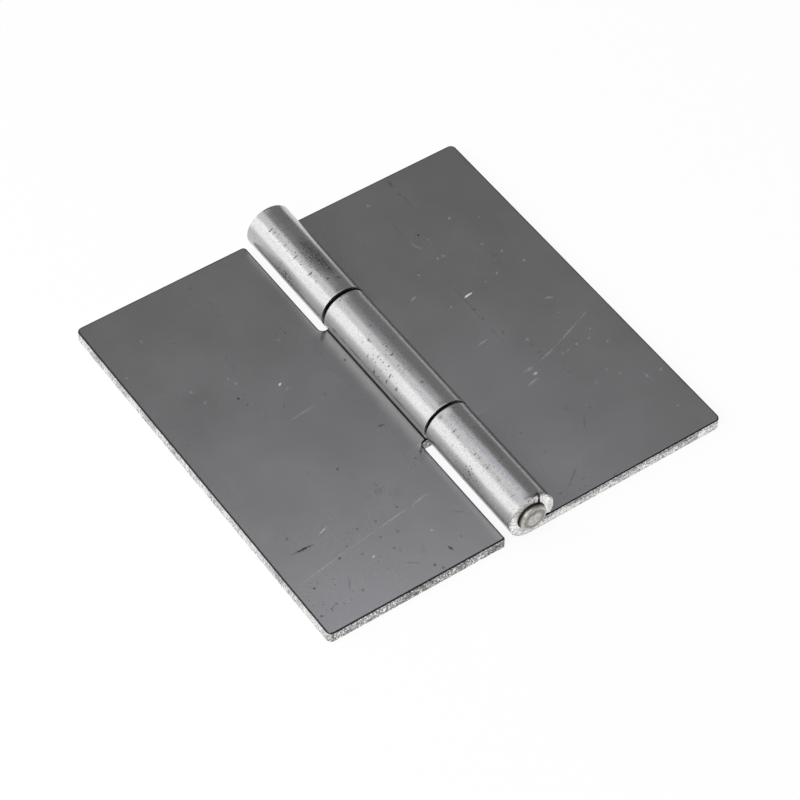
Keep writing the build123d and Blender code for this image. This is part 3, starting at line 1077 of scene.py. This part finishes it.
def turned(azimuth: float, tilt: float, roll: float = 0.0) -> Matrix:
    """Gives the turn of a lamp or camera, in degrees from +Y toward +X, up from straight down and about its view."""
    return (Matrix.Rotation(math.radians(-azimuth), 4, "Z") @ Matrix.Rotation(math.radians(tilt), 4, "X")
            @ Matrix.Rotation(math.radians(roll), 4, "Z"))


@dataclass(frozen=True)
class SoftBox:
    """A soft lamp. Place and sizes are in metres, and its face looks back along azimuth and elevation."""

    name: str
    place: Triple
    azimuth: float               # degrees from +Y toward +X
    elevation: float
    width: float                 # level
    height: float
    brightness: float            # 1 is a white sheet in full light
    colour: str = "#ffffff"

    def build(self) -> bpy.types.Object:
        """Hangs the lamp."""
        lamp = bpy.data.lights.new(self.name, "AREA")
        lamp.shape = "RECTANGLE"
        lamp.size = self.width
        lamp.size_y = self.height
        lamp.energy = self.brightness * math.pi * self.width * self.height
        lamp.color = linear(self.colour)[:3]
        holder = new_object(self.name, lamp)
        holder.matrix_world = Matrix.Translation(self.place) @ turned(self.azimuth, self.elevation - 90)
        return holder


@dataclass(frozen=True)
class PhotoCamera:
    """The photograph's viewpoint, in metres and degrees."""

    azimuth: float = 35.085      # of the view's direction, from +Y toward +X
    elevation: float = 49.966    # looking down
    roll: float = 0.555
    distance: float = 0.60916
    target: Triple = (-0.0018, -0.00445, 0.0)
    lens: float = 140.58         # millimetres
    nearest: float = 0.01        # metres that it sees from and to
    furthest: float = 50.0

    def build(self) -> bpy.types.Object:
        """Sets up the camera and makes it the scene's own."""
        lens = bpy.data.cameras.new("photo_camera")
        lens.lens = self.lens
        lens.sensor_width = SENSOR
        lens.clip_start = self.nearest
        lens.clip_end = self.furthest
        holder = new_object("photo_camera", lens)
        turn = turned(self.azimuth, 90 - self.elevation, self.roll)
        back = turn @ Vector((0, 0, self.distance))
        holder.matrix_world = Matrix.Translation(Vector(self.target) + back) @ turn
        bpy.context.scene.camera = holder
        return holder


@dataclass
class Studio:
    """White table, even grey room and soft lamps. Sizes in metres."""

    floor_half: float = 3.0
    floor_drop: float = 0.00004
    floor_colour: str = "#f2f2f2"
    shadow_share: float = 0.1    # how much of the floor's look is left to light and shadow
    room: str = "#8e8e8e"
    lamps: tuple[SoftBox, ...] = (
        SoftBox("softbox_left_back", (-0.745, 0.53, 0.32), -54.5, 18.5, 0.75, 0.66, 1.45),
        SoftBox("softbox_above_back", (-0.66, 0.93, 1.1), 0.0, 90.0, 1.18, 0.86, 0.86),
        SoftBox("softbox_above", (0.05, 0.07, 1.1), 0.0, 90.0, 0.9, 1.12, 1.05, "#f4f4ff"),
        SoftBox("softbox_front_left", (-0.865, -0.3, 0.92), -109.0, 45.0, 1.0, 0.8, 5.0),
    )

    def build(self) -> None:
        """Lays the floor, lights the room, hangs the lamps and sets up the camera."""
        self.lay_floor()
        self.light_room()
        for lamp in self.lamps:
            lamp.build()
        PhotoCamera().build()

    def lay_floor(self) -> None:
        """Lays a white table top that shows as white, also mirrored or through glass, and keeps a soft shadow."""
        sheet = bmesh.new()
        bmesh.ops.create_grid(sheet, x_segments=1, y_segments=1, size=self.floor_half,
                              matrix=Matrix.Translation((0, 0, -self.floor_drop)))
        mesh = bpy.data.meshes.new("table_top")
        sheet.to_mesh(mesh)
        sheet.free()
        floor = new_object("table_top", mesh)
        material = bpy.data.materials.new("white_table_top")
        node = partial(add_node, new_tree(material))
        path = node("LightPath").node.outputs
        seen = node("Math", (path["Is Camera Ray"], path["Is Glossy Ray"]), operation="MAXIMUM")
        seen = node("Math", (seen, path["Is Transmission Ray"]), operation="MAXIMUM")
        share = node("Math", (seen, 1 - self.shadow_share), operation="MULTIPLY")
        matt = node("BsdfDiffuse", {"Color": linear(self.floor_colour)})
        look = node("MixShader", (share, matt, node("Emission", {"Color": WHITE, "Strength": 1.0})))
        node("OutputMaterial", {"Surface": look})
        mesh.materials.append(material)
        floor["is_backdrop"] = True

    def light_room(self) -> None:
        """Gives the room an even grey light, and shows it white behind the table."""
        world = bpy.data.worlds.new("grey_room")
        bpy.context.scene.world = world
        node = partial(add_node, new_tree(world))
        even, white = (node("Background", {"Color": colour, "Strength": 1.0}) for colour in (linear(self.room), WHITE))
        look = node("MixShader", (node("LightPath", output="Is Camera Ray"), even, white))
        node("OutputWorld", {"Surface": look})


# -------------------------------------------------------------------------------------------------------- main


def main(cad: tuple[Vector, Vector]) -> None:
    """Builds the hinge and its studio.

    Args:
        cad: Lowest and highest corner of the CAD model. Not used.
    """
    logging.basicConfig(level=logging.INFO, format="%(name)s %(message)s")
    bpy.context.scene.view_settings.view_transform = "Standard"
    two_knuckle_cut = ShearedSteel("sheared_steel_two_knuckle_leaf").build()
    centre_knuckle_cut = ShearedSteel("sheared_steel_centre_knuckle_leaf", fracture="#9d9c9a",
                                      burnish="#939292", wiped_share=0.0, slit_tone=2.5).build()
    two_knuckle_strip = StripSteel("strip_steel_two_knuckle_leaf", TWO_KNUCKLE_WEAR).build()
    centre_knuckle_strip = StripSteel("strip_steel_centre_knuckle_leaf", CENTRE_KNUCKLE_WEAR, barrel="#b9b9b9",
                                      barrel_roughness=0.2).build()
    RolledLeaf("two_knuckle_strip", "two_knuckle_leaf", "fixed_side", LeafSide.RIGHT, KnuckleRoll(3.03),
               slots=((-18.0, 18.0),), split=EndSplit(), materials=[two_knuckle_strip, two_knuckle_cut]).build()
    RolledLeaf("centre_knuckle_strip", "centre_knuckle_leaf", "swinging_side", LeafSide.LEFT, KnuckleRoll(3.08),
               slots=((17.05, 60.0), (-60.0, -17.25)), far_corner_radius=0.8, near_corner_radius=0.3, slide=-0.1,
               rim_roll=0.28, pattern_seed=200.0, materials=[centre_knuckle_strip, centre_knuckle_cut]).build()
    HingePin(UpsetWireSteel().build()).build()
    Studio().build()


if __name__ == "__main__":
    main(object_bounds())
